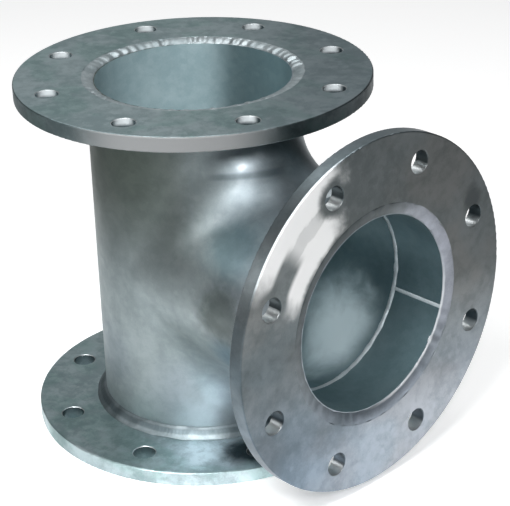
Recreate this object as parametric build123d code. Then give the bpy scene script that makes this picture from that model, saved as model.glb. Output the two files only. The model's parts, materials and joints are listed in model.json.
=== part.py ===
from build123d import *
from math import isclose, radians, tan
import os

# Flanged equal tee, 6 inch size: a formed tee body, a short spigot on its branch and three plate flanges,
# all welded together.
# Millimetres. The origin is the centre of the bottom flange's face. +Z runs up the main pipe and +X runs
# out along the branch.

# Pipe and formed tee
PIPE_OD = 168.3
PIPE_WALL = 7.1
CENTRE_TO_RUN_END = 142.0
CENTRE_TO_BRANCH_END = 142.0
CROTCH_RADIUS = 55.0
CROTCH_END_LAND = 1.0       # straight pipe that is left, at the least, between the crotch and each end
NECK_EASE = 0.25            # the branch is drawn this much smaller in radius than the run

# Spigot, rolled from plate and closed by a seam
SPIGOT_LENGTH = 46.0
SEAM_ANGLE = -16.0          # degrees round the branch, from +Y towards +Z
SEAM_ROOT_WIDTH = 2.6
SEAM_TOP_WIDTH = 5.0
SEAM_BEAD_HEIGHT = 0.7
SEAM_BEAD_OVERLAP = 0.6

# Plate flanges
FLANGE_OD = 280.0
FLANGE_THICKNESS = 12.0
BOLT_COUNT = 8
BOLT_HOLE = 18.0
BOLT_ROOM_PAST_WELD = 2.85  # the bolt circle runs midway between the rim and a circle this far past the weld
FLANGE_BORE_CLEARANCE = 1.0
RIM_RADIUS = 1.0
HOLE_EDGE_BREAK = 0.5
WELD_CHAMFER = 2.0
PIPE_SET_BACK = 3.0         # from a flange's face to the pipe's end inside it

# Fillet weld behind each flange, and seal weld over the pipe's end in each face
BACK_WELD_LEG = 8.0
BACK_WELD_CROWN = 0.9
FACE_WELD_TOE = 0.5         # from the pipe's bore to the edge of the weld
FACE_WELD_CROWN = 0.4
GAP_PENETRATION = 1.5       # how far either weld runs into the gap between pipe and flange

# Butt weld between the tee's branch and the spigot
ROOT_GAP = 3.0
ROOT_LAND = 1.6
BEVEL_ANGLE = 35.0
CAP_HEIGHT = 1.4
CAP_OVERLAP = 1.2
ROOT_HEIGHT = 0.9
ROOT_OVERLAP = 1.0

PIPE_R = PIPE_OD / 2
BORE_R = PIPE_R - PIPE_WALL
FLANGE_BORE_R = PIPE_R + FLANGE_BORE_CLEARANCE
BOLT_CIRCLE_R = (FLANGE_OD / 2 + PIPE_R + BACK_WELD_LEG + BOLT_ROOM_PAST_WELD) / 2

BRANCH_Z = PIPE_SET_BACK + CENTRE_TO_RUN_END
TOP_FACE_Z = 2 * BRANCH_Z
SPIGOT_START_X = CENTRE_TO_BRANCH_END + ROOT_GAP
SPIGOT_END_X = SPIGOT_START_X + SPIGOT_LENGTH
BRANCH_FACE_X = SPIGOT_END_X + PIPE_SET_BACK

LAND_R = BORE_R + ROOT_LAND
BEVEL_SLOPE = tan(radians(BEVEL_ANGLE))
BEVEL_DEPTH = (PIPE_R - LAND_R) * BEVEL_SLOPE
CUT = 1.0                   # how far a cut runs past what it cuts


# Turns a closed outline of (radius, height) points about +Z.
def turned(draw_outline):
    with BuildPart() as part:
        with BuildSketch(Plane.XZ):
            with BuildLine():
                draw_outline()
            make_face()
        revolve(axis=Axis.Z)
    return part.part


# A flange and its welds are made with the face down on z = 0, then carried to each opening of the tee.
def at_bottom(shape):
    return shape


def at_top(shape):
    return Pos(0, 0, TOP_FACE_Z) * Rot(180, 0, 0) * shape


def at_branch(shape):
    return Pos(BRANCH_FACE_X, 0, BRANCH_Z) * Rot(0, -90, 0) * shape


# Pieces round the branch are made on +Z, with height 0 at the tee's centre, then laid along +X.
def along_branch(shape):
    return Pos(0, 0, BRANCH_Z) * Rot(0, 90, 0) * shape


# Run and branch as one solid form, with the crotch rounded where they meet
def cross_form(run_r, crotch_r, overrun):
    run = Pos(0, 0, BRANCH_Z) * Cylinder(run_r, 2 * (CENTRE_TO_RUN_END + overrun))
    branch = Cylinder(
        run_r - NECK_EASE,
        CENTRE_TO_BRANCH_END + overrun,
        align=(Align.CENTER, Align.CENTER, Align.MIN),
    )
    form = run + along_branch(branch)
    crotch = [edge for edge in form.edges() if edge.geom_type not in (GeomType.LINE, GeomType.CIRCLE)]
    return fillet(crotch, crotch_r)


# What a weld bevel takes off a pipe end that faces +Z at height 0
def bevel_cut():
    outer_r = PIPE_R + CUT

    def outline():
        Polyline(
            (LAND_R, 0),
            (outer_r, -(outer_r - LAND_R) * BEVEL_SLOPE),
            (outer_r, CUT),
            (LAND_R, CUT),
            close=True,
        )
    return turned(outline)


def tee_body():
    room = min(CENTRE_TO_RUN_END, CENTRE_TO_BRANCH_END) - PIPE_R - CROTCH_END_LAND
    crotch_r = min(CROTCH_RADIUS, room)
    outside = cross_form(PIPE_R, crotch_r, 0)
    inside = cross_form(BORE_R, crotch_r + PIPE_WALL, CUT)
    bevel = along_branch(Pos(0, 0, CENTRE_TO_BRANCH_END) * bevel_cut())
    return outside - inside - bevel


# The spigot as it would be with no seam
def closed_spigot():
    blank = Cylinder(PIPE_R, SPIGOT_LENGTH, align=(Align.CENTER, Align.CENTER, Align.MIN))
    blank -= Cylinder(BORE_R, 3 * SPIGOT_LENGTH)
    blank -= Rot(180, 0, 0) * bevel_cut()
    return along_branch(Pos(0, 0, SPIGOT_START_X) * blank)


# Extrudes a closed outline of (radius, width) points along the seam of the spigot.
def along_seam(draw_outline):
    with BuildPart() as part:
        with BuildSketch(Plane.XY):
            with BuildLine():
                draw_outline()
            make_face()
        extrude(amount=SPIGOT_LENGTH)
    return along_branch(Pos(0, 0, SPIGOT_START_X) * Rot(0, 0, 90 + SEAM_ANGLE) * part.part)


def seam_slot():
    def outline():
        Polyline(
            (BORE_R - CUT, -SEAM_ROOT_WIDTH / 2),
            (LAND_R, -SEAM_ROOT_WIDTH / 2),
            (PIPE_R, -SEAM_TOP_WIDTH / 2),
            (PIPE_R + CUT, -SEAM_TOP_WIDTH / 2),
            (PIPE_R + CUT, SEAM_TOP_WIDTH / 2),
            (PIPE_R, SEAM_TOP_WIDTH / 2),
            (LAND_R, SEAM_ROOT_WIDTH / 2),
            (BORE_R - CUT, SEAM_ROOT_WIDTH / 2),
            close=True,
        )
    return along_seam(outline)


def plate_flange():
    with BuildPart() as flange:
        Cylinder(FLANGE_OD / 2, FLANGE_THICKNESS, align=(Align.CENTER, Align.CENTER, Align.MIN))
        fillet(flange.edges().filter_by(GeomType.CIRCLE), RIM_RADIUS)
        Hole(FLANGE_BORE_R)
        face = flange.faces().sort_by(Axis.Z)[0]
        chamfer(face.inner_wires().edges(), WELD_CHAMFER)
        with PolarLocations(BOLT_CIRCLE_R, BOLT_COUNT, start_angle=180 / BOLT_COUNT):
            Hole(BOLT_HOLE / 2)
        hole_edges = [edge for edge in flange.edges().filter_by(GeomType.CIRCLE)
                      if isclose(edge.radius, BOLT_HOLE / 2)]
        chamfer(hole_edges, HOLE_EDGE_BREAK)
    return flange.part


# Fillet weld in the corner between the pipe and the back of a flange
def back_weld():
    heel = FLANGE_THICKNESS
    toe = heel + BACK_WELD_LEG
    crown = BACK_WELD_LEG / 2 + BACK_WELD_CROWN / 2 ** 0.5

    def outline():
        ThreePointArc((PIPE_R + BACK_WELD_LEG, heel), (PIPE_R + crown, heel + crown), (PIPE_R, toe))
        Polyline(
            (PIPE_R, toe),
            (PIPE_R, heel - GAP_PENETRATION),
            (FLANGE_BORE_R, heel - GAP_PENETRATION),
            (FLANGE_BORE_R, heel),
            (PIPE_R + BACK_WELD_LEG, heel),
        )
    return turned(outline)


# Seal weld over the end of the pipe, up to the chamfer of the flange's bore
def face_weld():
    inner_r = BORE_R + FACE_WELD_TOE
    outer_r = FLANGE_BORE_R + WELD_CHAMFER
    middle = ((inner_r + outer_r) / 2, PIPE_SET_BACK / 2 - FACE_WELD_CROWN)

    def outline():
        ThreePointArc((inner_r, PIPE_SET_BACK), middle, (outer_r, 0))
        Polyline(
            (outer_r, 0),
            (FLANGE_BORE_R, WELD_CHAMFER),
            (FLANGE_BORE_R, PIPE_SET_BACK + GAP_PENETRATION),
            (PIPE_R, PIPE_SET_BACK + GAP_PENETRATION),
            (PIPE_R, PIPE_SET_BACK),
            (inner_r, PIPE_SET_BACK),
        )
    return turned(outline)


# Butt weld: a round-capped band that fills what the two bevelled ends leave
def ring_weld(tee, spigot):
    middle = ROOT_GAP / 2
    cap = middle + BEVEL_DEPTH + CAP_OVERLAP
    root = middle + ROOT_OVERLAP
    inside_wall = BORE_R + ROOT_LAND / 2

    def outline():
        ThreePointArc((PIPE_R, -cap), (PIPE_R + CAP_HEIGHT, 0), (PIPE_R, cap))
        Polyline((PIPE_R, cap), (inside_wall, root), (BORE_R, root))
        ThreePointArc((BORE_R, root), (BORE_R - ROOT_HEIGHT, 0), (BORE_R, -root))
        Polyline((BORE_R, -root), (inside_wall, -root), (PIPE_R, -cap))
    band = along_branch(Pos(0, 0, CENTRE_TO_BRANCH_END + middle) * turned(outline))
    return band - tee - spigot


# Seam weld: fills the slot, with a low bead inside and out, and ends against the welds round the spigot
def seam_weld(spigot, end_welds):
    top = SEAM_TOP_WIDTH / 2 + SEAM_BEAD_OVERLAP
    root = SEAM_ROOT_WIDTH / 2 + SEAM_BEAD_OVERLAP
    middle_r = (BORE_R + PIPE_R) / 2

    def outline():
        ThreePointArc((PIPE_R, -top), (PIPE_R + SEAM_BEAD_HEIGHT, 0), (PIPE_R, top))
        Polyline((PIPE_R, top), (middle_r, root), (BORE_R, root))
        ThreePointArc((BORE_R, root), (BORE_R - SEAM_BEAD_HEIGHT, 0), (BORE_R, -root))
        Polyline((BORE_R, -root), (middle_r, -root), (PIPE_R, -top))
    weld = along_seam(outline) - spigot
    for end_weld in end_welds:
        weld -= end_weld
    return weld


def build():
    tee = tee_body()
    whole_spigot = closed_spigot()
    spigot = whole_spigot - seam_slot()
    ring = ring_weld(tee, whole_spigot)
    nodes = {"tee_body": tee, "branch_spigot": spigot, "branch_ring_weld": ring}
    for name, place in (("bottom", at_bottom), ("top", at_top), ("branch", at_branch)):
        nodes[name + "_flange"] = place(plate_flange())
        nodes[name + "_back_weld"] = place(back_weld()) - tee
        nodes[name + "_face_weld"] = place(face_weld())
    end_welds = [ring, nodes["branch_back_weld"], nodes["branch_face_weld"]]
    nodes["branch_seam_weld"] = seam_weld(spigot, end_welds)
    return nodes


os.makedirs("parts", exist_ok=True)
for node, solid in build().items():
    export_step(solid, "parts/" + node + ".step")
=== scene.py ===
import functools
import json
import math

import bpy
import numpy as np
from mathutils import Matrix, Vector


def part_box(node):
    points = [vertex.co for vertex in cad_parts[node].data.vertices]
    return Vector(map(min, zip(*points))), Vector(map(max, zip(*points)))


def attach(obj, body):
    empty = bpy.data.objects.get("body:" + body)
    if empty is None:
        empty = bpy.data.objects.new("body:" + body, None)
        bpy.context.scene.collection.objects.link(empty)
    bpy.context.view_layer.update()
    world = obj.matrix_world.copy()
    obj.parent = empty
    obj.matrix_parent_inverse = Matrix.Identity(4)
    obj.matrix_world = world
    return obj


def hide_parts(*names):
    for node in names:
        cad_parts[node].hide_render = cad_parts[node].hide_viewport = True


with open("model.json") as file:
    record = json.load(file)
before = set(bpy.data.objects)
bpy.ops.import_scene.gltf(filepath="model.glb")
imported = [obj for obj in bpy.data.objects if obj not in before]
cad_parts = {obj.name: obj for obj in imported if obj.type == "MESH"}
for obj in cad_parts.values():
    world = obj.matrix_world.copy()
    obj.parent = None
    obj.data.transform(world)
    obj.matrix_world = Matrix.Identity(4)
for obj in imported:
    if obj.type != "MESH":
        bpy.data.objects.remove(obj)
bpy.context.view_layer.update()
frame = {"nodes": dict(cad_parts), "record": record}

# Metres. Sizes of beads are written in millimetres and scaled by MM, and materials reckon in millimetres.
MM = 0.001

# What the frame says about the tee
mounts = {mount["name"]: mount for mount in frame["record"]["mounts"]}
TOP_Z = mounts["top_bolts"]["pos_m"][2]
BRANCH_X, _, BRANCH_Z = mounts["branch_bolts"]["pos_m"]
BOLT_CIRCLE_R = mounts["branch_bolts"]["dims"]["pcd_mm"] / 2 * MM
BOLT_COUNT = mounts["branch_bolts"]["dims"]["count"]
HOLE_R = mounts["branch_bolts"]["dims"]["hole_r_mm"] * MM
FLANGE_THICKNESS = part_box("bottom_flange")[1].z
FLANGE_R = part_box("bottom_flange")[1].x
PIPE_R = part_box("branch_spigot")[1].y
BACK_WELD_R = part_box("branch_back_weld")[1].y
FACE_WELD_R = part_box("branch_face_weld")[1].y
FACE_WELD_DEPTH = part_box("bottom_face_weld")[1].z
RING_CAP_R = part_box("branch_ring_weld")[1].y
RING_START_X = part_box("branch_ring_weld")[0].x
RING_END_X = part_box("branch_ring_weld")[1].x
BACK_WELD_LEG = BACK_WELD_R - PIPE_R

# Sizes that the frame's boxes don't give
PIPE_WALL = 7.1 * MM
BORE_R = PIPE_R - PIPE_WALL
PIPE_SET_BACK = 3 * MM
FACE_WELD_TOE = 0.5 * MM
FACE_WELD_EDGE_Z = 0.05 * MM    # how far a face weld's outer edge lies behind the flange's face
FACE_WELD_LOWEST = 0.02 * MM    # no point of a face weld lies nearer to the face's plane than this
SEAM_ANGLE = math.radians(-16)
SEAM_HALF_WIDTH = 3.1 * MM
SEAM_ROOT_HALF_WIDTH = 1.6 * MM
SEAM_BEAD_HEIGHT = 0.7 * MM
SEAM_PITCH = 3.2 * MM
SEAM_RIPPLE = 0.22 * MM
SEAM_BOW = 0.9
ROOT_HALF_WIDTH = 2.1 * MM
ROOT_HEIGHT = 0.9 * MM
SUNK = 0.8 * MM             # how far a bead's hidden side lies in the metal that it joins
DIPPED = 0.1 * MM           # how far a bead's edges dip into the metal beside them
HEM = 1 * MM                # how far the hidden side stays back from the bead's edges

# Relief of the beads
RING_SECTIONS = 1100
SEAM_SECTIONS = 110
DRIFT = 0.35                # how far the ripples wander from even spacing, in ripples
RIPPLES_PER_DRIFT = 9
MEAN_RIPPLE = 0.64          # average height of a ripple's round back, which is taken off
EDGE_PARTS = 5              # a bead's relief sets in over one part in this many of its width

# Height of the ripples and of the lumps of each face weld: the branch's is the smoothest.
FACE_WELD_RELIEF = {
    "bottom": (0.06 * MM, 0.3 * MM),
    "top": (0.04 * MM, 0.42 * MM),
    "branch": (0.015 * MM, 0.12 * MM),
}

# Where a flange's own frame, face down on z = 0, lies at each opening
AT_BOTTOM = Matrix.Identity(4)
AT_TOP = Matrix.Translation((0, 0, TOP_Z)) @ Matrix.Rotation(math.pi, 4, "X")
AT_BRANCH = Matrix.Translation((BRANCH_X, 0, BRANCH_Z)) @ Matrix.Rotation(-math.pi / 2, 4, "Y")
ALONG_BRANCH = Matrix.Translation((0, 0, BRANCH_Z)) @ Matrix.Rotation(math.pi / 2, 4, "Y")

rng = np.random.default_rng(seed=11)


def smooth_step(x):
    t = np.clip(x, 0, 1)
    return t * t * (3 - 2 * t)


# Uneven values round a ring, between about -1 and 1, that meet where the ring closes
def wander(turns, lumps, spread):
    orders = np.arange(max(1, int(lumps * (1 - spread))), int(lumps * (1 + spread)) + 2)
    total = np.zeros_like(turns)
    for order in orders:
        total += rng.normal() * np.cos(2 * math.pi * (order * turns + rng.random()))
    return total / math.sqrt(len(orders))


# Height of a weld's ripples: round backs with sharp valleys, each bowed back at the bead's edges
def ripples(turns, across, count, bow):
    drift = DRIFT * wander(turns, count / RIPPLES_PER_DRIFT, spread=0.6)
    phase = count * turns[:, None] + drift[:, None] + bow * (across[None, :] - 0.5) ** 2 * 4
    return np.abs(np.sin(math.pi * phase)) - MEAN_RIPPLE


# 0 at a bead's edges and 1 between them, for its relief
def edge_fade(share):
    return smooth_step(np.minimum(share, 1 - share) * EDGE_PARTS)


def mesh_object(name, points, faces, material):
    mesh = bpy.data.meshes.new(name)
    mesh.from_pydata([tuple(p) for p in points], [], faces)
    mesh.polygons.foreach_set("use_smooth", [True] * len(mesh.polygons))
    mesh.materials.append(material)
    piece = bpy.data.objects.new(name, mesh)
    bpy.context.scene.collection.objects.link(piece)
    return piece


# Faces between neighbouring sections, each a closed loop of points that runs counter-clockwise
def band_faces(sections, points, closes):
    faces = []
    last = sections if closes else sections - 1
    for i in range(last):
        a, b = i * points, (i + 1) % sections * points
        for j in range(points):
            k = (j + 1) % points
            faces.append((a + j, b + j, b + k, a + k))
    if not closes:
        faces.append(tuple(range(points)))
        faces.append(tuple(range(sections * points - 1, (sections - 1) * points - 1, -1)))
    return faces


# Part of a section that shows: an arc from start to end that rises outwards in its middle
def crown_arc(start, end, rise, count):
    start, end = np.array(start), np.array(end)
    chord = end - start
    outward = np.array([chord[1], -chord[0]]) / np.linalg.norm(chord)
    share = np.linspace(0, 1, count)
    bulge = 4 * share * (1 - share)
    arc = start + share[:, None] * chord + bulge[:, None] * rise * outward
    return arc, outward, share


# The crown's points in every section round the axis, as radius and height
def crown_points(crown, turns):
    arc, outward, share = crown_arc(crown["start"], crown["end"], crown["rise"], crown["points"])
    girth = 2 * math.pi * crown["start"][0]
    lump_count = girth / crown["lump_pitch"]
    height = crown["ripple"] * ripples(turns, share, round(girth / crown["pitch"]), crown["bow"])
    height += crown["lump"] * wander(turns, lump_count, spread=0.5)[:, None]
    shift = crown["toe_wander"] * wander(turns, lump_count / 2, spread=0.6)
    along = (arc[-1] - arc[0]) / np.linalg.norm(arc[-1] - arc[0])
    stretch = (share[None, :] - 0.5) * 2 * shift[:, None]
    relief = (height * edge_fade(share)[None, :])[:, :, None] * outward
    return arc[None] + relief + stretch[:, :, None] * along


# A weld bead round an axis. The crowns show, and the hidden points lie in the metal. Nothing of it lies
# lower than the height that is given last.
def bead_ring(name, crowns, hidden, place, material, lowest=-math.inf):
    turns = np.arange(RING_SECTIONS) / RING_SECTIONS
    loops = [crown_points(crown, turns) for crown in crowns]
    if hidden:
        loops.append(np.repeat(np.array(hidden)[None], RING_SECTIONS, axis=0))
    section = np.concatenate(loops, axis=1)
    radius, height = section[:, :, 0], np.maximum(section[:, :, 1], lowest)
    angle = 2 * math.pi * turns[:, None]
    points = np.stack([radius * np.cos(angle), radius * np.sin(angle), height], axis=2).reshape(-1, 3)
    matrix = np.array(place)
    world = points @ matrix[:3, :3].T + matrix[:3, 3]
    faces = band_faces(RING_SECTIONS, section.shape[1], True)
    return mesh_object(name, world, faces, material)


def finish_bead(piece, node):
    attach(piece, "root")
    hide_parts(node)


# The fillet behind a flange, from the plate's back to the pipe
def back_weld(name, place, material):
    heel = FLANGE_THICKNESS
    inner = PIPE_R - SUNK
    crown = {
        "start": (PIPE_R + BACK_WELD_LEG, heel - DIPPED), "end": (PIPE_R - DIPPED, heel + BACK_WELD_LEG),
        "rise": 0.4 * MM, "points": 17, "pitch": 3.4 * MM, "lump_pitch": 22 * MM,
        "ripple": 0.07 * MM, "lump": 0.22 * MM, "toe_wander": 0.35 * MM, "bow": 0.9,
    }
    hidden = [(inner, heel + BACK_WELD_LEG - HEM), (inner, heel - SUNK),
              (PIPE_R + BACK_WELD_LEG - HEM, heel - SUNK)]
    bead = bead_ring(name + "_back_weld_bead", [crown], hidden, place, material)
    finish_bead(bead, name + "_back_weld")


# The seal weld in a flange's bore, over the pipe's end
def face_weld(name, place, material, ripple, lump):
    inner_r = BORE_R + FACE_WELD_TOE
    crown = {
        "start": (inner_r, PIPE_SET_BACK + DIPPED), "end": (FACE_WELD_R + DIPPED, FACE_WELD_EDGE_Z),
        "rise": 0.6 * MM, "points": 17, "pitch": 4.2 * MM, "lump_pitch": 10 * MM,
        "ripple": ripple, "lump": lump, "toe_wander": 0.45 * MM, "bow": 0.7,
    }
    hidden = [(FACE_WELD_R, FACE_WELD_DEPTH - HEM), (PIPE_R, FACE_WELD_DEPTH),
              (inner_r + SUNK, FACE_WELD_DEPTH)]
    bead = bead_ring(name + "_face_weld_bead", [crown], hidden, place, material, FACE_WELD_LOWEST)
    finish_bead(bead, name + "_face_weld")


# The butt weld between the tee body and the spigot: its cap outside, and its root inside
def ring_weld(material):
    middle = (RING_START_X + RING_END_X) / 2
    half = (RING_END_X - RING_START_X) / 2
    cap_r, root_r = PIPE_R - DIPPED, BORE_R + DIPPED
    cap = {
        "start": (cap_r, middle - half), "end": (cap_r, middle + half),
        "rise": RING_CAP_R - PIPE_R, "points": 17, "pitch": 3.6 * MM, "lump_pitch": 24 * MM,
        "ripple": 0.34 * MM, "lump": 0.2 * MM, "toe_wander": 0.35 * MM, "bow": 1.0,
    }
    root = {
        "start": (root_r, middle + ROOT_HALF_WIDTH), "end": (root_r, middle - ROOT_HALF_WIDTH),
        "rise": ROOT_HEIGHT, "points": 13, "pitch": 3.2 * MM, "lump_pitch": 12 * MM,
        "ripple": 0.2 * MM, "lump": 0.18 * MM, "toe_wander": 0.3 * MM, "bow": 0.6,
    }
    bead = bead_ring("branch_ring_weld_bead", [cap, root], None, ALONG_BRANCH, material)
    finish_bead(bead, "branch_ring_weld")


# The seam's bead runs straight along the branch, outside and inside the spigot.
def seam_weld(material):
    start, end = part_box("branch_seam_weld")[0].x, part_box("branch_seam_weld")[1].x
    share_along = np.linspace(0, 1, SEAM_SECTIONS)
    count = (end - start) / SEAM_PITCH
    cap_r, root_r = PIPE_R - DIPPED, BORE_R + DIPPED
    cap = {"start": (SEAM_HALF_WIDTH, cap_r), "end": (-SEAM_HALF_WIDTH, cap_r), "points": 13}
    root = {"start": (-SEAM_ROOT_HALF_WIDTH, root_r), "end": (SEAM_ROOT_HALF_WIDTH, root_r), "points": 11}
    loops = []
    for crown in (cap, root):
        arc, outward, share = crown_arc(crown["start"], crown["end"], SEAM_BEAD_HEIGHT, crown["points"])
        height = SEAM_RIPPLE * ripples(share_along, share, count, SEAM_BOW) * edge_fade(share)[None, :]
        loops.append(arc[None] + height[:, :, None] * outward)
    section = np.concatenate(loops, axis=1)
    across, radius = section[:, :, 0], section[:, :, 1]
    away = Vector((0, math.cos(SEAM_ANGLE), math.sin(SEAM_ANGLE)))
    sideways = Vector((0, -math.sin(SEAM_ANGLE), math.cos(SEAM_ANGLE)))
    along = start + share_along * (end - start)
    points = np.zeros(section.shape[:2] + (3,))
    points[:, :, 0] = along[:, None]
    points += radius[:, :, None] * np.array(away) + across[:, :, None] * np.array(sideways)
    points[:, :, 2] += BRANCH_Z
    faces = band_faces(SEAM_SECTIONS, section.shape[1], False)
    piece = mesh_object("branch_seam_weld_bead", points.reshape(-1, 3), faces, material)
    finish_bead(piece, "branch_seam_weld")


# Short calls for building the nodes of one material
class Shader:
    def __init__(self, name):
        self.material = bpy.data.materials.new(name)
        self.material.use_nodes = True
        self.tree = self.material.node_tree
        self.tree.nodes.clear()
        output = self.tree.nodes.new("ShaderNodeOutputMaterial")
        self.surface = self.tree.nodes.new("ShaderNodeBsdfPrincipled")
        self.tree.links.new(self.surface.outputs[0], output.inputs["Surface"])
        coordinates = self.tree.nodes.new("ShaderNodeTexCoord")
        self.position = self.vector("SCALE", coordinates.outputs["Object"], scale=1 / MM)
        self.normal = coordinates.outputs["Normal"]

    def put(self, socket, value):
        if isinstance(value, bpy.types.NodeSocket):
            self.tree.links.new(value, socket)
        else:
            socket.default_value = value

    def vector(self, operation, a, b=None, scale=None):
        node = self.tree.nodes.new("ShaderNodeVectorMath")
        node.operation = operation
        self.put(node.inputs[0], a)
        if b is not None:
            self.put(node.inputs[1], b)
        if scale is not None:
            self.put(node.inputs["Scale"], scale)
        return node.outputs["Value"] if operation in ("LENGTH", "DOT_PRODUCT") else node.outputs["Vector"]

    def math(self, operation, a, b=0.0):
        node = self.tree.nodes.new("ShaderNodeMath")
        node.operation = operation
        self.put(node.inputs[0], a)
        self.put(node.inputs[1], b)
        return node.outputs[0]

    def times(self, *values):
        return functools.reduce(lambda a, b: self.math("MULTIPLY", a, b), values)

    def plus(self, *values):
        return functools.reduce(lambda a, b: self.math("ADD", a, b), values)

    def largest(self, *values):
        return functools.reduce(lambda a, b: self.math("MAXIMUM", a, b), values)

    def minus(self, a, b):
        return self.math("SUBTRACT", a, b)

    def rest(self, share):
        return self.minus(1.0, share)

    # Values added up, each with a weight of its own
    def weigh(self, *pairs):
        return self.plus(*(self.times(value, weight) for weight, value in pairs))

    # Smooth 0 to 1 as value goes from low to high
    def rise(self, value, low, high, to_low=0.0, to_high=1.0):
        node = self.tree.nodes.new("ShaderNodeMapRange")
        node.interpolation_type = "SMOOTHSTEP"
        self.put(node.inputs["Value"], value)
        self.put(node.inputs["From Min"], low)
        self.put(node.inputs["From Max"], high)
        self.put(node.inputs["To Min"], to_low)
        self.put(node.inputs["To Max"], to_high)
        return node.outputs["Result"]

    # 1 from low to high, fading to 0 over soft on either side
    def window(self, value, low, high, soft):
        up = self.rise(value, low - soft, low)
        down = self.rise(value, high, high + soft, 1.0, 0.0)
        return self.times(up, down)

    # X, Y and Z of a place in millimetres
    def parts(self, place):
        node = self.tree.nodes.new("ShaderNodeSeparateXYZ")
        self.put(node.inputs[0], place)
        return tuple(node.outputs)

    # How far a place lies in a level direction, given as an angle
    def toward(self, angle, x, y):
        return self.plus(self.times(x, math.cos(angle)), self.times(y, math.sin(angle)))

    # Cosine of the angle between this turn, in degrees, and a direction
    def facing(self, turn, degrees):
        return self.math("COSINE", self.times(self.minus(turn, degrees), math.pi / 180))

    # 1, or else full, in the middle of a patch, and 0 outside it. Uneven is what makes its edge ragged.
    def patch(self, middle, uneven, ragged, inner, outer, full=1.0):
        away = self.vector("LENGTH", self.vector("SUBTRACT", self.position, middle))
        return self.rise(self.plus(away, self.times(uneven, ragged)), inner, outer, full, 0.0)

    # Cloudy noise of about this size in millimetres
    def cloud(self, size, detail=3.0, roughness=0.55, distortion=0.0, shift=(0, 0, 0)):
        place = self.vector("MULTIPLY", self.position, (1 / size,) * 3)
        place = self.vector("ADD", place, shift)
        node = self.tree.nodes.new("ShaderNodeTexNoise")
        self.put(node.inputs["Vector"], place)
        self.put(node.inputs["Scale"], 1.0)
        self.put(node.inputs["Detail"], detail)
        self.put(node.inputs["Roughness"], roughness)
        self.put(node.inputs["Distortion"], distortion)
        return node.outputs["Fac"]

    # One random value for each zinc crystal of about this size, with bent and blurred edges
    def crystals(self, size, blur, bend_scale=1.5, bend=0.6):
        noise = self.tree.nodes.new("ShaderNodeTexNoise")
        self.put(noise.inputs["Vector"], self.position)
        self.put(noise.inputs["Scale"], bend_scale / size)
        bent = self.vector("SCALE", noise.outputs["Color"], scale=size * bend)
        node = self.tree.nodes.new("ShaderNodeTexVoronoi")
        node.feature = "SMOOTH_F1"
        self.put(node.inputs["Vector"], self.vector("ADD", self.position, bent))
        self.put(node.inputs["Scale"], 1 / size)
        self.put(node.inputs["Smoothness"], blur)
        split = self.tree.nodes.new("ShaderNodeSeparateColor")
        self.put(split.inputs[0], node.outputs["Color"])
        return split.outputs[0]

    def mix(self, share, a, b, blend="MIX"):
        node = self.tree.nodes.new("ShaderNodeMix")
        node.data_type = "RGBA"
        node.blend_type = blend
        self.put(node.inputs[0], share)
        self.put(node.inputs[6], a)
        self.put(node.inputs[7], b)
        return node.outputs[2]

    # The colour times the tint, where share is 1
    def tint(self, share, colour, tint):
        return self.mix(share, colour, self.mix(1.0, colour, (*tint, 1), "MULTIPLY"))

    # The colour with another one over it, where share is 1
    def cover(self, share, colour, over):
        return self.mix(share, colour, (*over, 1))

    def two_tone(self, value, dark, light):
        node = self.tree.nodes.new("ShaderNodeValToRGB")
        self.put(node.inputs[0], value)
        for element, colour in zip(node.color_ramp.elements, (dark, light)):
            element.color = (*colour, 1)
        return node.outputs["Color"]

    def bump(self, height, distance):
        node = self.tree.nodes.new("ShaderNodeBump")
        self.put(node.inputs["Height"], height)
        self.put(node.inputs["Distance"], distance)
        return node.outputs["Normal"]


# The marks in the zinc: about how large each kind is in millimetres, and how much it counts in the zinc's
# tone, roughness and relief
MARK_SIZES = {"large": 55, "patches": 17, "crystal": 5.5, "grain": 1.4}
TONE_WEIGHTS = {"large": 0.42, "patches": 0.34, "crystal": 0.10, "grain": 0.14}
ROUGH_WEIGHTS = {"grain": 0.08, "crystal": 0.05}
RELIEF_WEIGHTS = {"patches": 0.5, "crystal": 0.10, "grain": 0.08}
TONE_MIDDLE = 0.5
TONE_SPREAD = 0.16          # half the range of the marks' sum that goes from dark to light
DARK_ROUGHER = 0.10         # how much rougher the zinc is at its darkest tone
USUAL_ROUGHNESS = 0.1       # what the marks add to the roughness on average, which is taken off
METALLIC = 0.92
MATTE_ROUGHER = 0.2
MATTE_LESS_METAL = 0.85


# Hot-dip zinc: soft clouds, crystals and fine grain, as one tone from 0, dark, to 1, light
def zinc(name, contrast=1.0):
    s = Shader(name)
    marks = {
        "large": s.cloud(MARK_SIZES["large"], distortion=0.6),
        "patches": s.cloud(MARK_SIZES["patches"], detail=4, roughness=0.6, distortion=0.4, shift=(7, 3, 5)),
        "crystal": s.crystals(MARK_SIZES["crystal"], blur=0.6),
        "grain": s.cloud(MARK_SIZES["grain"], detail=2, roughness=0.6),
    }
    tone = s.weigh(*((weight, marks[kind]) for kind, weight in TONE_WEIGHTS.items()))
    spread = TONE_SPREAD / contrast
    return s, s.rise(tone, TONE_MIDDLE - spread, TONE_MIDDLE + spread), marks


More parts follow.
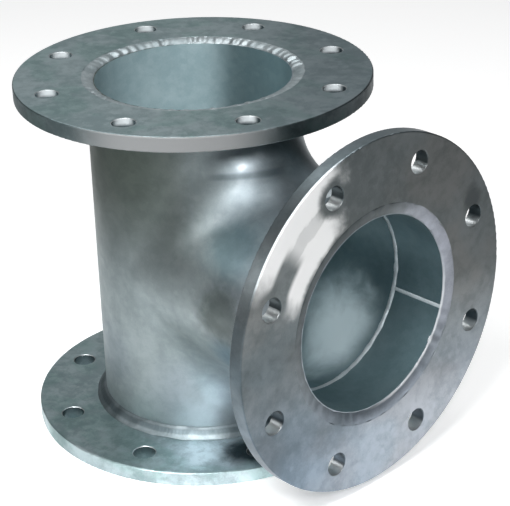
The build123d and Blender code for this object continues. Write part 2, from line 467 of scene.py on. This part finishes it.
# Where matte is 1 the zinc is a dull oxide that scatters light, and where it is 0 it is bare metal. The
# relief is in millimetres.
def finish_zinc(s, colour, tone, marks, roughness, relief, matte=None):
    marked = ((weight, marks[kind]) for kind, weight in ROUGH_WEIGHTS.items())
    rough = s.weigh((DARK_ROUGHER, s.rest(tone)), *marked)
    rough = s.plus(rough, s.minus(roughness, USUAL_ROUGHNESS))
    metal = METALLIC
    if matte is not None:
        rough = s.plus(rough, s.times(matte, MATTE_ROUGHER))
        metal = s.minus(metal, s.times(matte, MATTE_LESS_METAL))
    s.put(s.surface.inputs["Base Color"], colour)
    s.put(s.surface.inputs["Metallic"], metal)
    s.put(s.surface.inputs["Roughness"], rough)
    height = s.weigh(*((weight, marks[kind]) for kind, weight in RELIEF_WEIGHTS.items()))
    s.put(s.surface.inputs["Normal"], s.bump(height, relief * MM))
    return s.material


# Radius and angle, in degrees, of a place on a flange, and how far it lies from the nearest bolt hole's axis
def flange_place(s, across, up):
    radius = s.math("SQRT", s.plus(s.times(across, across), s.times(up, up)))
    turn = s.math("ARCTAN2", up, across)
    step = 2 * math.pi / BOLT_COUNT
    fold = s.math("COSINE", s.minus(s.math("FLOORED_MODULO", turn, step), step / 2))
    circle = BOLT_CIRCLE_R / MM
    square = s.plus(s.times(radius, radius), circle * circle)
    square = s.minus(square, s.times(radius, fold, 2 * circle))
    return radius, s.times(turn, 180 / math.pi), s.math("SQRT", s.largest(square, 0.0))


# Painted shade darkens the zinc on the bolt holes' walls, apart from where a wall faces up, which has painted
# light.
HOLE_WALL_SHADE = (0.36, 0.40, 0.42)
UPWARD_WALL_LIGHT = {"normal": (0.3, 0.85), "colour": (0.75, 0.79, 0.80)}
HOLE_EDGE = (0.2, 0.7)      # how far outside a hole's wall its looks end
RIM_EDGE = (0.9, 0.5)       # how far inside a flange's rim its looks set in


def hole_wall(s, to_hole):
    return s.rise(to_hole, HOLE_R / MM + HOLE_EDGE[0], HOLE_R / MM + HOLE_EDGE[1], 1.0, 0.0)


def outer_rim(s, radius):
    return s.rise(radius, FLANGE_R / MM - RIM_EDGE[0], FLANGE_R / MM - RIM_EDGE[1])


def darken_holes(s, colour, to_hole):
    up = s.rise(s.parts(s.normal)[2], *UPWARD_WALL_LIGHT["normal"])
    inside = s.cover(up, s.tint(1.0, colour, HOLE_WALL_SHADE), UPWARD_WALL_LIGHT["colour"])
    return s.mix(hole_wall(s, to_hole), colour, inside)


# 1 on the pipe's inside, where the surface faces the axes, and 0 on its outside
def inside_pipe(s):
    x, y, z = s.parts(s.position)
    both_radii = s.tree.nodes.new("ShaderNodeCombineXYZ")
    for socket, value in zip(both_radii.inputs, (x, s.times(y, 2.0), s.minus(z, BRANCH_Z / MM))):
        s.put(socket, value)
    outward = s.vector("DOT_PRODUCT", s.normal, both_radii.outputs[0])
    return s.rise(outward, -1.0, 1.0, 1.0, 0.0)


# Directions round the run: the side towards which the body is bluer and painted shade darkens the top flange
# and the run's upper bore, and the opposite one, where the run's upper bore is dullest and palest
SHADED_SIDE = math.radians(46)
DULL_SIDE = math.radians(226)

# The body's outside. A tint's two numbers for heights, or for places towards the shaded side, are where it
# sets in and where it is whole.
BODY_OUTSIDE = {"dark": (0.27, 0.325, 0.335), "light": (0.39, 0.45, 0.465)}
OLIVE = {"heights": (150.0, 262.0), "toward": (0.0, -50.0), "tint": (0.86, 0.89, 0.80)}
# Painted shade high on the body under the top flange, on the side away from the shaded one
SHADE_UNDER_TOP_FLANGE = {"heights": (118.0, 222.0), "toward": (14.0, -20.0), "tint": (0.44, 0.445, 0.42)}
VIOLET_SIDE = {"toward": (0.0, 40.0), "tint": (1.03, 1.0, 1.05)}

# Mostly darker and more blue-green patches of the outside, as (middle, size in millimetres, tint)
BODY_PATCHES = (
    ((113, -69, 194), 30, (0.62, 0.76, 0.78)), ((116, -74, 108), 24, (0.62, 0.74, 0.80)),
    ((114, -80, 146), 30, (0.34, 0.36, 0.34)), ((-25, -81, 68), 36, (0.78, 0.80, 0.83)),
    ((84, 14, 250), 27, (0.50, 0.56, 0.56)), ((62, -72, 48), 42, (1.10, 1.09, 1.15)),
)
PATCH_RAGGED, PATCH_INNER, PATCH_OUTER = 0.5, 0.6, 1.5      # shares of a patch's size

# A painted dark reflection of the top flange's underside: a line round the shoulder over the crotch, which
# climbs a little towards the shaded side. Where there are three numbers, the last one is how softly the
# stretch between the first two ends.
PAINTED_DARK_LINE = {
    "slope": -0.06, "heights": (234.6, 236.0, 2.6), "toward": (22.0, 60.0, 14.0), "front": (4.0, -12.0),
    "tint": (0.62, 0.65, 0.66),
}
COAT = {"toward": (-5.0, 62.0, 18.0), "weight": 0.22, "roughness": 0.12}     # smoother zinc beside it
BODY_ROUGHNESS = (110.0, 180.0, 0.52, 0.41)     # two heights, and the roughness at each


def body_outside(s, tone, marks):
    x, y, z = s.parts(s.position)
    side = s.toward(SHADED_SIDE, x, y)
    colour = s.two_tone(tone, **BODY_OUTSIDE)
    for area in (OLIVE, SHADE_UNDER_TOP_FLANGE):
        share = s.times(s.rise(z, *area["heights"]), s.rise(side, *area["toward"]))
        colour = s.tint(share, colour, area["tint"])
    colour = s.tint(s.rise(side, *VIOLET_SIDE["toward"]), colour, VIOLET_SIDE["tint"])
    for middle, size, tint in BODY_PATCHES:
        ragged, inner, outer = size * PATCH_RAGGED, size * PATCH_INNER, size * PATCH_OUTER
        colour = s.tint(s.patch(middle, marks["patches"], ragged, inner, outer), colour, tint)
    height = s.window(s.plus(z, s.times(side, PAINTED_DARK_LINE["slope"])), *PAINTED_DARK_LINE["heights"])
    line = s.times(height, s.window(side, *PAINTED_DARK_LINE["toward"]), s.rise(y, *PAINTED_DARK_LINE["front"]))
    coat = s.times(s.window(side, *COAT["toward"]), s.rest(line), COAT["weight"])
    s.put(s.surface.inputs["Coat Weight"], coat)
    s.put(s.surface.inputs["Coat Roughness"], COAT["roughness"])
    return s.tint(line, colour, PAINTED_DARK_LINE["tint"])


# The body's inside: brighter metal, apart from the run's upper bore and a patch of painted light, on dull
# zinc, low in the branch's bore
BODY_INSIDE = {"dark": (0.25, 0.36, 0.39), "light": (0.37, 0.485, 0.515)}
BRANCH_BORE = {"along": (70.0, 130.0), "tint": (0.50, 0.56, 0.58)}
UPPER_BORE = (185.0, 235.0)
# Painted shade on the run's upper bore, towards the shaded side
SHADED_BORE = {"toward": (-8.0, -38.0), "tint": (0.72, 0.76, 0.76)}
DULL_BORE = (-34.0, 4.0, 0.1, 1.0)      # two places towards the dull side, and how dull the zinc is at each
DULL_REST = 0.12
LIGHT_PATCH = {
    "middle": (107, 43, 85), "ragged": 36.0, "inner": 32.0, "outer": 82.0, "full": 0.95,
    "along": (122.0, 148.0, 1.0, 0.15), "colour": (0.78, 0.93, 0.98),
}


# Colour of the inside, and how dull it is
def body_inside(s, tone, marks):
    x, y, z = s.parts(s.position)
    side = s.toward(DULL_SIDE, x, y)
    upper = s.rise(z, *UPPER_BORE)
    colour = s.two_tone(tone, **BODY_INSIDE)
    colour = s.tint(s.rise(x, *BRANCH_BORE["along"]), colour, BRANCH_BORE["tint"])
    colour = s.tint(s.times(upper, s.rise(side, *SHADED_BORE["toward"])), colour, SHADED_BORE["tint"])
    size = (LIGHT_PATCH[key] for key in ("ragged", "inner", "outer", "full"))
    patch = s.patch(LIGHT_PATCH["middle"], marks["patches"], *size)
    patch = s.times(patch, s.rise(x, *LIGHT_PATCH["along"]))
    colour = s.cover(patch, colour, LIGHT_PATCH["colour"])
    return colour, s.largest(s.times(upper, s.rise(side, *DULL_BORE)), DULL_REST, patch)


def body_zinc():
    s, tone, marks = zinc("zinc_body", contrast=0.8)
    outside = body_outside(s, tone, marks)
    inside, dull = body_inside(s, tone, marks)
    inner = inside_pipe(s)
    colour = s.mix(inner, outside, inside)
    roughness = s.rise(s.parts(s.position)[2], *BODY_ROUGHNESS)
    return finish_zinc(s, colour, tone, marks, roughness, relief=0.3, matte=s.times(inner, dull))


# The top and bottom flanges. The top one has painted shade on its shaded side and on its rim, and a stretch
# of its rim has painted light, on dull zinc. The bottom one has painted light towards the shaded side.
RUN_PLATE = {"dark": (0.25, 0.325, 0.34), "light": (0.41, 0.50, 0.52)}
MURKY = {"size": 42, "noise": (0.44, 0.62), "tint": (0.82, 0.91, 0.88)}
UPPER_PLATE = (0.4, 0.6)    # shares of the tee's height between which the top flange's looks set in
TOP_SHADE = {"toward": (-20.0, 110.0), "tint": (0.60, 0.60, 0.62)}
BOTTOM_GLOW = {"toward": (-120.0, 10.0), "tint": (1.72, 1.64, 1.66)}
TOP_RIM_SHADE = (0.48, 0.50, 0.50)
LIT_RIM = {"degrees": -48, "facing": (0.80, 0.98), "colour": (0.27, 0.28, 0.285)}

# A painted shadow on the bottom flange by the branch, of about 24 mm
PAINTED_SHADOW = {"middle": (103, -52, 12), "size": 24, "ragged": 16.0, "tint": (0.07, 0.09, 0.10)}
PAINTED_SHADOW_INNER, PAINTED_SHADOW_OUTER = 0.7, 1.5       # shares of its size

# Painted light on the walls of the top flange's holes, where the zinc is also dull, by the depth where it
# ends and the way the walls face
LIT_HOLE_WALLS = {
    "depths": (7, 3), "way": math.radians(-36), "facing": (0.4, 1.0), "colour": (0.66, 0.71, 0.73),
}


def lit_hole_walls(s, z, to_hole):
    low, high = (TOP_Z / MM - depth for depth in LIT_HOLE_WALLS["depths"])
    way = (math.cos(LIT_HOLE_WALLS["way"]), math.sin(LIT_HOLE_WALLS["way"]), 0)
    turned = s.rise(s.vector("DOT_PRODUCT", s.normal, way), *LIT_HOLE_WALLS["facing"])
    return s.times(hole_wall(s, to_hole), s.rise(z, low, high), turned)


def run_plate_zinc():
    s, tone, marks = zinc("zinc_plate", contrast=1.5)
    x, y, z = s.parts(s.position)
    radius, angle, to_hole = flange_place(s, x, y)
    side = s.toward(SHADED_SIDE, x, y)
    upper = s.rise(z, *(share * TOP_Z / MM for share in UPPER_PLATE))
    colour = s.two_tone(tone, **RUN_PLATE)
    murky = s.cloud(MURKY["size"], distortion=0.8, shift=(3, 1, 8))
    colour = s.tint(s.rise(murky, *MURKY["noise"]), colour, MURKY["tint"])
    colour = s.tint(s.times(s.rise(side, *TOP_SHADE["toward"]), upper), colour, TOP_SHADE["tint"])
    glow = s.times(s.rise(side, *BOTTOM_GLOW["toward"]), s.rest(upper))
    colour = s.tint(glow, colour, BOTTOM_GLOW["tint"])
    rim = s.times(outer_rim(s, radius), upper)
    colour = s.tint(rim, colour, TOP_RIM_SHADE)
    inner, outer = PAINTED_SHADOW["size"] * PAINTED_SHADOW_INNER, PAINTED_SHADOW["size"] * PAINTED_SHADOW_OUTER
    patch = s.patch(PAINTED_SHADOW["middle"], marks["patches"], PAINTED_SHADOW["ragged"], inner, outer)
    colour = s.tint(patch, colour, PAINTED_SHADOW["tint"])
    lit_rim = s.times(rim, s.rise(s.facing(angle, LIT_RIM["degrees"]), *LIT_RIM["facing"]))
    colour = s.cover(lit_rim, colour, LIT_RIM["colour"])
    colour = darken_holes(s, colour, to_hole)
    lit_walls = lit_hole_walls(s, z, to_hole)
    colour = s.cover(lit_walls, colour, LIT_HOLE_WALLS["colour"])
    return finish_zinc(s, colour, tone, marks, roughness=0.40, relief=0.4, matte=s.largest(lit_rim, lit_walls))


# The branch flange. Angles are in degrees round the branch, from +Y towards +Z. Heights are above its axis.
BRANCH_PLATE = {"dark": (0.29, 0.33, 0.345), "light": (0.44, 0.48, 0.50)}
LEFT_SHADE = {"sideways": (30.0, -110.0), "heights": (70.0, -20.0), "tint": (0.57, 0.64, 0.69)}
# Painted shade by height, a darker belt below the axis and a darker upper half, and a painted bluish
# reflection on the lower half
SHADE_BELT = {"heights": (-70.0, 0.0, 35.0), "tint": (0.70, 0.70, 0.69)}
UPPER_HALF_SHADE = {"heights": (-45.0, 35.0), "tint": (0.53, 0.54, 0.53)}
LOWER_HALF_REFLECTION = {"heights": (0.0, -90.0), "tint": (0.95, 0.99, 1.08)}
WARM = {"size": 70, "noise": (0.42, 0.6), "tint": (1.04, 0.98, 0.95)}
BRANCH_RIM = {"heights": (-100.0, -30.0, 0.2, 1.0), "tint": (0.85, 0.92, 0.97)}
FACE_EDGE = (1.5, 0.8)      # how far behind the face its looks set in

# Painted white highlights on the face, where the zinc is also dull, as (first angle, last angle, inner
# radius, outer radius, strength)
HIGHLIGHT_STREAKS = ((115, 144, 123, 140, 1.0), (121, 150, 92, 109, 1.0), (126, 137, 106, 126, 0.75))
STREAK_COLOUR = (0.99, 1.0, 1.0)
STREAK_ROUND = {"ragged": 14.0, "soft": 14.0}       # degrees
STREAK_ACROSS = {"ragged": 8.0, "soft": 6.0}        # millimetres
NOTCH_ANGLES, NOTCH_RADII = (143, 160, 9.0), (108, 122, 5.0)    # the zinc between the streaks stays dark
HOLE_SHADE = {"ragged": 8.0, "distances": (11.0, 19.0)}         # and round a hole it does too

# A dark stain by the upper right hole
STAIN = {"angle": math.radians(30), "radius": 123, "size": 11, "ragged": 14.0}
STAIN_INNER, STAIN_OUTER = 0.4, 1.3         # shares of its size
STAIN_COLOUR, STAIN_STRENGTH = (0.10, 0.115, 0.12), 0.85


# 1 where the branch flange's face has painted white highlights
def highlight_streaks(s, radius, angle, to_hole, ragged):
    streaks = []
    ragged_angle = s.plus(angle, s.times(ragged, STREAK_ROUND["ragged"]))
    ragged_radius = s.plus(radius, s.times(ragged, STREAK_ACROSS["ragged"]))
    for first, last, inner, outer, strength in HIGHLIGHT_STREAKS:
        round_it = s.window(ragged_angle, first, last, STREAK_ROUND["soft"])
        across = s.window(ragged_radius, inner, outer, STREAK_ACROSS["soft"])
        streaks.append(s.times(round_it, across, strength))
    near_hole = s.plus(to_hole, s.times(ragged, HOLE_SHADE["ragged"]))
    notch = s.times(s.window(angle, *NOTCH_ANGLES), s.window(radius, *NOTCH_RADII))
    return s.times(s.largest(*streaks), s.rise(near_hole, *HOLE_SHADE["distances"]), s.rest(notch))


def stain(s, ragged):
    across = STAIN["radius"] * math.cos(STAIN["angle"])
    up = STAIN["radius"] * math.sin(STAIN["angle"])
    middle = (BRANCH_X / MM, across, BRANCH_Z / MM + up)
    inner, outer = STAIN["size"] * STAIN_INNER, STAIN["size"] * STAIN_OUTER
    return s.times(s.patch(middle, ragged, STAIN["ragged"], inner, outer), STAIN_STRENGTH)


def branch_plate_zinc():
    s, tone, marks = zinc("zinc_branch_plate", contrast=1.1)
    x, y, z = s.parts(s.position)
    height = s.minus(z, BRANCH_Z / MM)
    radius, angle, to_hole = flange_place(s, y, height)
    on_face = s.rise(x, *(BRANCH_X / MM - depth for depth in FACE_EDGE))
    ragged = s.minus(marks["patches"], 0.5)
    streaks = s.times(highlight_streaks(s, radius, angle, to_hole, ragged), on_face)
    colour = s.two_tone(tone, **BRANCH_PLATE)
    shade = s.times(s.rise(y, *LEFT_SHADE["sideways"]), s.rise(height, *LEFT_SHADE["heights"]))
    colour = s.tint(shade, colour, LEFT_SHADE["tint"])
    colour = s.tint(s.window(height, *SHADE_BELT["heights"]), colour, SHADE_BELT["tint"])
    for area in (UPPER_HALF_SHADE, LOWER_HALF_REFLECTION):
        colour = s.tint(s.rise(height, *area["heights"]), colour, area["tint"])
    warm = s.cloud(WARM["size"], detail=2, shift=(1, 9, 4))
    colour = s.tint(s.rise(warm, *WARM["noise"]), colour, WARM["tint"])
    colour = s.cover(stain(s, ragged), colour, STAIN_COLOUR)
    colour = s.cover(streaks, colour, STREAK_COLOUR)
    rim = s.times(outer_rim(s, radius), s.rise(height, *BRANCH_RIM["heights"]))
    colour = s.tint(rim, colour, BRANCH_RIM["tint"])
    colour = darken_holes(s, colour, to_hole)
    return finish_zinc(s, colour, tone, marks, roughness=0.36, relief=0.4, matte=streaks)


def weld_zinc():
    s, tone, marks = zinc("zinc_weld", contrast=1.2)
    colour = s.two_tone(tone, dark=(0.30, 0.36, 0.38), light=(0.50, 0.56, 0.58))
    return finish_zinc(s, colour, tone, marks, roughness=0.42, relief=0.3)


# The branch's face weld blends with the flange, and is pale and dull round these angles only. Angles and
# heights are as for the branch flange.
BRANCH_WELD = {"dark": (0.24, 0.27, 0.28), "light": (0.35, 0.38, 0.40)}
PALE_WELD = {"dark": (0.26, 0.28, 0.325), "light": (0.40, 0.425, 0.49)}
PALE_SIDE = {"degrees": 22, "half_width": math.radians(48), "ragged": 0.5, "soft": 0.7}
# Painted shade as on the flange, darker upwards and to the left, and a painted bluish reflection low down
WELD_HIGH_SHADE = {"heights": (-45.0, 35.0), "tint": (0.40, 0.42, 0.42)}
WELD_LOW_REFLECTION = {"heights": (0.0, -80.0), "tint": (0.92, 0.96, 1.06)}
WELD_LEFT_SHADE = {"sideways": (35.0, -45.0), "tint": (0.62, 0.65, 0.66)}
PALE_DULLNESS = (0.0, 1.0, 0.25, 0.7)   # from where the weld isn't pale to where it is

# A painted highlight along the lower lip of the branch's bore, where the zinc is also dull
LIP_HIGHLIGHT = {"radii": (79.7, 78.5), "angles": (-70.0, -12.0, 34.0), "colour": (0.68, 0.71, 0.74), "dull": 0.7}


def branch_face_weld_zinc():
    s, tone, marks = zinc("zinc_branch_face_weld")
    _, y, z = s.parts(s.position)
    height = s.minus(z, BRANCH_Z / MM)
    radius, angle, _ = flange_place(s, y, height)
    facing = s.plus(s.facing(angle, PALE_SIDE["degrees"]), s.times(marks["large"], PALE_SIDE["ragged"]))
    edge = math.cos(PALE_SIDE["half_width"])
    pale = s.rise(facing, edge, edge + PALE_SIDE["soft"])
    colour = s.two_tone(tone, **BRANCH_WELD)
    colour = s.tint(s.times(s.rise(height, *WELD_HIGH_SHADE["heights"]), s.rest(pale)), colour, WELD_HIGH_SHADE["tint"])
    colour = s.mix(pale, colour, s.two_tone(tone, **PALE_WELD))
    colour = s.tint(s.rise(height, *WELD_LOW_REFLECTION["heights"]), colour, WELD_LOW_REFLECTION["tint"])
    colour = s.tint(s.rise(y, *WELD_LEFT_SHADE["sideways"]), colour, WELD_LEFT_SHADE["tint"])
    lip = s.times(s.rise(radius, *LIP_HIGHLIGHT["radii"]), s.window(angle, *LIP_HIGHLIGHT["angles"]))
    colour = s.cover(lip, colour, LIP_HIGHLIGHT["colour"])
    dull = s.largest(s.rise(pale, *PALE_DULLNESS), s.times(lip, LIP_HIGHLIGHT["dull"]))
    return finish_zinc(s, colour, tone, marks, roughness=0.36, relief=0.3, matte=dull)


BACK_WELD_SHADE = {"radii": (87.2, 89.2, 1.3), "tint": (0.60, 0.64, 0.66)}


# Darker, for the fillet welds behind the flanges, with painted shade along their middle
def back_weld_zinc():
    s, tone, marks = zinc("zinc_back_weld")
    x, y, _ = s.parts(s.position)
    radius = flange_place(s, x, y)[0]
    colour = s.two_tone(tone, dark=(0.18, 0.225, 0.24), light=(0.30, 0.35, 0.37))
    middle = s.window(s.plus(radius, marks["patches"]), *BACK_WELD_SHADE["radii"])
    colour = s.tint(middle, colour, BACK_WELD_SHADE["tint"])
    return finish_zinc(s, colour, tone, marks, roughness=0.44, relief=0.3)


# Paler and duller, for the ring weld and the seam, whose roots show inside the branch
def pale_weld_zinc():
    s, tone, marks = zinc("zinc_pale_weld")
    colour = s.two_tone(tone, dark=(0.45, 0.52, 0.55), light=(0.60, 0.66, 0.69))
    dull = s.rise(marks["large"], 0.3, 0.55, to_low=0.4, to_high=0.8)
    return finish_zinc(s, colour, tone, marks, roughness=0.36, relief=0.3, matte=dull)


def paint(node, material):
    mesh = frame["nodes"][node].data
    if not mesh.materials:
        mesh.materials.append(material)
    for k in range(len(mesh.materials)):
        mesh.materials[k] = material


# Unit vector of an azimuth and an elevation in degrees
def direction(azimuth, elevation):
    az, el = math.radians(azimuth), math.radians(elevation)
    return Vector((math.cos(el) * math.cos(az), math.cos(el) * math.sin(az), math.sin(el)))


# Camera, at the photograph's viewing angle
CAMERA_PLACE = Vector((951.0, -838.2, 730.5)) * MM
CAMERA_YAW, CAMERA_PITCH, CAMERA_ROLL = 136.621, -25.271, -1.704
CAMERA_LENS = 121.17


def add_camera():
    roll = math.radians(CAMERA_ROLL)
    forward = direction(CAMERA_YAW, CAMERA_PITCH)
    right = forward.cross(Vector((0, 0, 1))).normalized()
    up = right.cross(forward)
    rolled_right = math.cos(roll) * right + math.sin(roll) * up
    rolled_up = math.cos(roll) * up - math.sin(roll) * right
    data = bpy.data.cameras.new("camera")
    data.lens = CAMERA_LENS
    camera = bpy.data.objects.new("camera", data)
    axes = Matrix((rolled_right, rolled_up, -forward)).transposed()
    camera.matrix_world = Matrix.Translation(CAMERA_PLACE) @ axes.to_4x4()
    bpy.context.scene.collection.objects.link(camera)
    bpy.context.scene.camera = camera


# Soft lamps, as (name, azimuth, elevation, distance, size, power): the way to each one is seen from the tee.
LAMPS = (
    ("front", -38, 33, 1.7, (0.24, 0.24), 10.5),
    ("key", -64, 46, 1.7, (0.6, 0.35), 19),
    ("left", -116, 26, 1.8, (0.6, 0.6), 4.5),
    ("overhead", CAMERA_YAW, 78, 2.2, (1.8, 1.8), 24),
)
OBJECT_MIDDLE = Vector((0.03, 0, 0.145))


def add_lamps():
    for name, azimuth, elevation, distance, size, power in LAMPS:
        data = bpy.data.lights.new(name, "AREA")
        data.shape = "RECTANGLE"
        data.size, data.size_y = size
        data.energy = power
        lamp = bpy.data.objects.new(name, data)
        toward = direction(azimuth, elevation)
        lamp.location = OBJECT_MIDDLE + toward * distance
        lamp.rotation_euler = toward.to_track_quat("Z", "Y").to_euler()
        bpy.context.scene.collection.objects.link(lamp)


# The room is lighter on one side, in the direction of this azimuth and elevation. The light sets in between
# two cosines of the angle to it.
BRIGHT_SIDE = (136, 25)
BRIGHT_FROM, BRIGHT_WHOLE = 0.78, 0.99
ROOM_LIGHT, BRIGHT_LIGHT = 0.04, 0.34
ROOM_COLOUR = (0.93, 0.98, 1, 1)


def add_world():
    world = bpy.data.worlds.new("room")
    bpy.context.scene.world = world
    world.use_nodes = True
    tree = world.node_tree
    tree.nodes.clear()
    output = tree.nodes.new("ShaderNodeOutputWorld")
    background = tree.nodes.new("ShaderNodeBackground")
    coordinates = tree.nodes.new("ShaderNodeTexCoord")
    facing = tree.nodes.new("ShaderNodeVectorMath")
    facing.operation = "DOT_PRODUCT"
    facing.inputs[1].default_value = direction(*BRIGHT_SIDE)
    ramp = tree.nodes.new("ShaderNodeMapRange")
    ramp.interpolation_type = "SMOOTHSTEP"
    ramp.inputs["From Min"].default_value = BRIGHT_FROM
    ramp.inputs["From Max"].default_value = BRIGHT_WHOLE
    ramp.inputs["To Min"].default_value = ROOM_LIGHT
    ramp.inputs["To Max"].default_value = BRIGHT_LIGHT
    tree.links.new(coordinates.outputs["Generated"], facing.inputs[0])
    tree.links.new(facing.outputs["Value"], ramp.inputs["Value"])
    tree.links.new(ramp.outputs["Result"], background.inputs["Strength"])
    background.inputs["Color"].default_value = ROOM_COLOUR
    tree.links.new(background.outputs[0], output.inputs["Surface"])


# The floor is pale grey, with a white sheet on it under and behind the tee. The sheet's numbers are distances
# from the tee where it is gone and where it is whole: towards the camera, to the left and to the right.
FLOOR_HALF = 6.0
FLOOR_DROP = 0.05 * MM      # the floor lies this far below the foot, so that the two planes stay apart
FLOOR_GREY = (0.45, 0.455, 0.46, 1)
SHEET_WHITE = (0.98, 0.98, 0.98)
SHEET_FRONT = (0.66, 0.17)
SHEET_LEFT = (0.32, 0.25)
SHEET_RIGHT = (0.62, 0.24)
SHEET_SPREAD = 0.17         # how much each side widens with the distance behind the tee
SHEET_GLOW = 0.33           # what the sheet adds of its own where it is seen or mirrored
FAR_FLOOR = (0.9, 3.0)      # distances between which the grey floor takes up a glow, as lamps don't reach it
FAR_GLOW = 0.42
BEHIND = direction(CAMERA_YAW, 0)


# 1 on the white sheet
def white_sheet(s, place):
    behind = s.vector("DOT_PRODUCT", place, tuple(BEHIND))
    left = s.vector("DOT_PRODUCT", place, (-BEHIND.y, BEHIND.x, 0))
    front = s.rise(behind, -SHEET_FRONT[0], -SHEET_FRONT[1])
    spread = s.times(s.largest(behind, 0.0), SHEET_SPREAD)
    left_side = s.rise(s.minus(left, spread), SHEET_LEFT[1], SHEET_LEFT[0], 1.0, 0.0)
    right = s.minus(s.times(left, -1.0), spread)
    right_side = s.rise(right, SHEET_RIGHT[1], SHEET_RIGHT[0], 1.0, 0.0)
    return s.times(front, s.times(left_side, right_side))


def floor_material():
    s = Shader("floor_white")
    place = s.vector("SCALE", s.position, scale=MM)
    white = white_sheet(s, place)
    path = s.tree.nodes.new("ShaderNodeLightPath")
    seen = s.largest(*(path.outputs[f"Is {kind} Ray"] for kind in ("Camera", "Glossy", "Transmission")))
    far = s.rise(s.vector("LENGTH", place), *FAR_FLOOR, 0.0, FAR_GLOW)
    glow = s.largest(s.times(white, SHEET_GLOW), far)
    s.put(s.surface.inputs["Base Color"], s.cover(white, FLOOR_GREY, SHEET_WHITE))
    s.put(s.surface.inputs["Roughness"], 0.9)
    s.put(s.surface.inputs["Specular IOR Level"], 0.1)
    s.put(s.surface.inputs["Emission Color"], (1, 1, 1, 1))
    s.put(s.surface.inputs["Emission Strength"], s.times(seen, glow))
    return s.material


def add_floor():
    h = FLOOR_HALF
    mesh = bpy.data.meshes.new("floor")
    mesh.from_pydata([(-h, -h, 0), (h, -h, 0), (h, h, 0), (-h, h, 0)], [], [(0, 1, 2, 3)])
    mesh.materials.append(floor_material())
    floor = bpy.data.objects.new("floor", mesh)
    floor.location = (0, 0, -FLOOR_DROP)
    bpy.context.scene.collection.objects.link(floor)


def main():
    body, plate, branch_plate = body_zinc(), run_plate_zinc(), branch_plate_zinc()
    weld, back, pale_weld = weld_zinc(), back_weld_zinc(), pale_weld_zinc()
    face_welds = {"bottom": weld, "top": weld, "branch": branch_face_weld_zinc()}
    for node in ("tee_body", "branch_spigot"):
        paint(node, body)
    for node in ("top_flange", "bottom_flange"):
        paint(node, plate)
    paint("branch_flange", branch_plate)
    for name, place in (("bottom", AT_BOTTOM), ("top", AT_TOP), ("branch", AT_BRANCH)):
        back_weld(name, place, back)
        face_weld(name, place, face_welds[name], *FACE_WELD_RELIEF[name])
    ring_weld(pale_weld)
    seam_weld(pale_weld)
    add_camera()
    add_lamps()
    add_world()
    add_floor()
    view = bpy.context.scene.view_settings
    view.view_transform = "Standard"


main()
